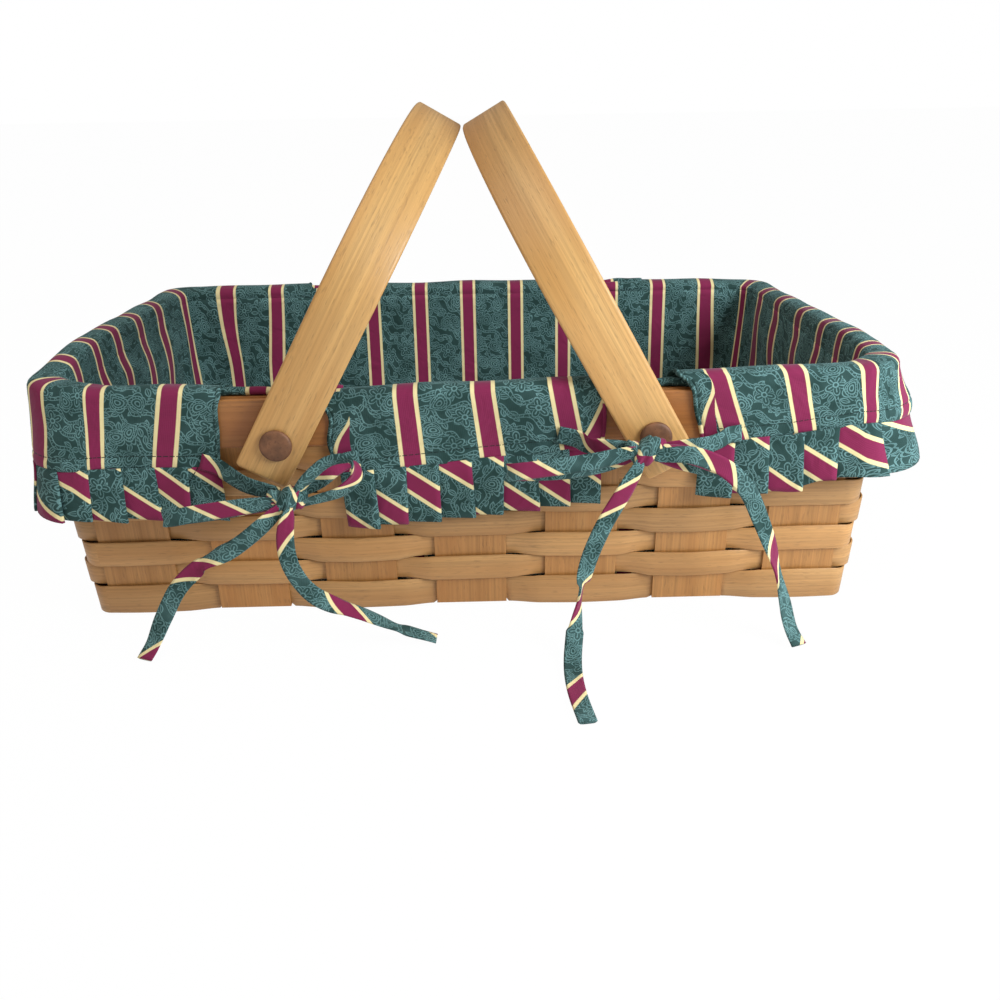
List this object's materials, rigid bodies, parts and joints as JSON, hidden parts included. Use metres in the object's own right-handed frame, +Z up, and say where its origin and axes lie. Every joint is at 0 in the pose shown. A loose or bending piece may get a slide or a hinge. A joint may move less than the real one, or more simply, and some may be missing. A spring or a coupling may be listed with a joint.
{
  "type": "gathering basket",
  "caption": "Open rectangular woven splint basket with two swinging bentwood handles and a tied cloth liner with a pleated ruffle.",
  "frame": {"origin": "middle of the footprint, on the surface that the basket stands on", "axes": "+X along the length to the right, +Y to the back, +Z up; the front faces -Y"},
  "size_m": [0.4637, 0.4952, 0.2668],
  "materials": {
    "maple_weaver": "clear satin stain on thin maple splint",
    "maple_splint": "clear satin stain on wide maple splint",
    "maple_rim": "clear satin stain on bent maple band",
    "bentwood": "clear satin lacquer on steam bent maple",
    "peg_wood": "dark stained turned wood",
    "printed_cotton": "printed woven cotton, striped, with tone on tone scrollwork",
    "tie_cotton": "the same printed cotton, cut on the bias and folded flat"
  },
  "bodies": {
    "basket": {"cross_splint_1": "maple_splint", "cross_splint_2": "maple_splint", "cross_splint_3": "maple_splint", "cross_splint_4": "maple_splint", "cross_splint_5": "maple_splint", "cross_splint_6": "maple_splint", "cross_splint_7": "maple_splint", "long_splint_1": "maple_splint", "long_splint_2": "maple_splint", "long_splint_3": "maple_splint", "long_splint_4": "maple_splint", "weaver_1": "maple_weaver", "weaver_2": "maple_weaver", "weaver_3": "maple_weaver", "weaver_4": "maple_weaver", "weaver_5": "maple_weaver", "weaver_6": "maple_weaver", "weaver_7": "maple_weaver", "rim_band_outer": "maple_rim", "rim_band_inner": "maple_rim", "peg_front_left": "peg_wood", "peg_front_right": "peg_wood", "peg_back_right": "peg_wood", "peg_back_left": "peg_wood", "peg_cap_front_left": "peg_wood", "peg_cap_front_right": "peg_wood", "peg_cap_back_right": "peg_wood", "peg_cap_back_left": "peg_wood", "liner_bag": "printed_cotton", "flap_front": "printed_cotton", "flap_right": "printed_cotton", "flap_back": "printed_cotton", "flap_left": "printed_cotton", "ruffle_front": "printed_cotton", "ruffle_right": "printed_cotton", "ruffle_back": "printed_cotton", "ruffle_left": "printed_cotton", "bow_front_left_knot": "tie_cotton", "bow_front_left_loop_left": "tie_cotton", "bow_front_left_loop_right": "tie_cotton", "bow_front_left_tail_left": "tie_cotton", "bow_front_left_tail_right": "tie_cotton", "bow_front_right_knot": "tie_cotton", "bow_front_right_loop_left": "tie_cotton", "bow_front_right_loop_right": "tie_cotton", "bow_front_right_tail_left": "tie_cotton", "bow_front_right_tail_right": "tie_cotton", "bow_back_right_knot": "tie_cotton", "bow_back_right_loop_left": "tie_cotton", "bow_back_right_loop_right": "tie_cotton", "bow_back_right_tail_left": "tie_cotton", "bow_back_right_tail_right": "tie_cotton", "bow_back_left_knot": "tie_cotton", "bow_back_left_loop_left": "tie_cotton", "bow_back_left_loop_right": "tie_cotton", "bow_back_left_tail_left": "tie_cotton", "bow_back_left_tail_right": "tie_cotton"},
    "left_handle": {"handle_left": "bentwood"},
    "right_handle": {"handle_right": "bentwood"}
  },
  "joints": [
    {"name": "left_handle_swing", "type": "hinge", "parent": "basket", "child": "left_handle", "pos_m": [-0.098, 0, 0.108], "axis": [0, -1, 0], "range_deg": [0, 84]},
    {"name": "right_handle_swing", "type": "hinge", "parent": "basket", "child": "right_handle", "pos_m": [0.098, 0, 0.108], "axis": [0, 1, 0], "range_deg": [0, 84]}
  ]
}
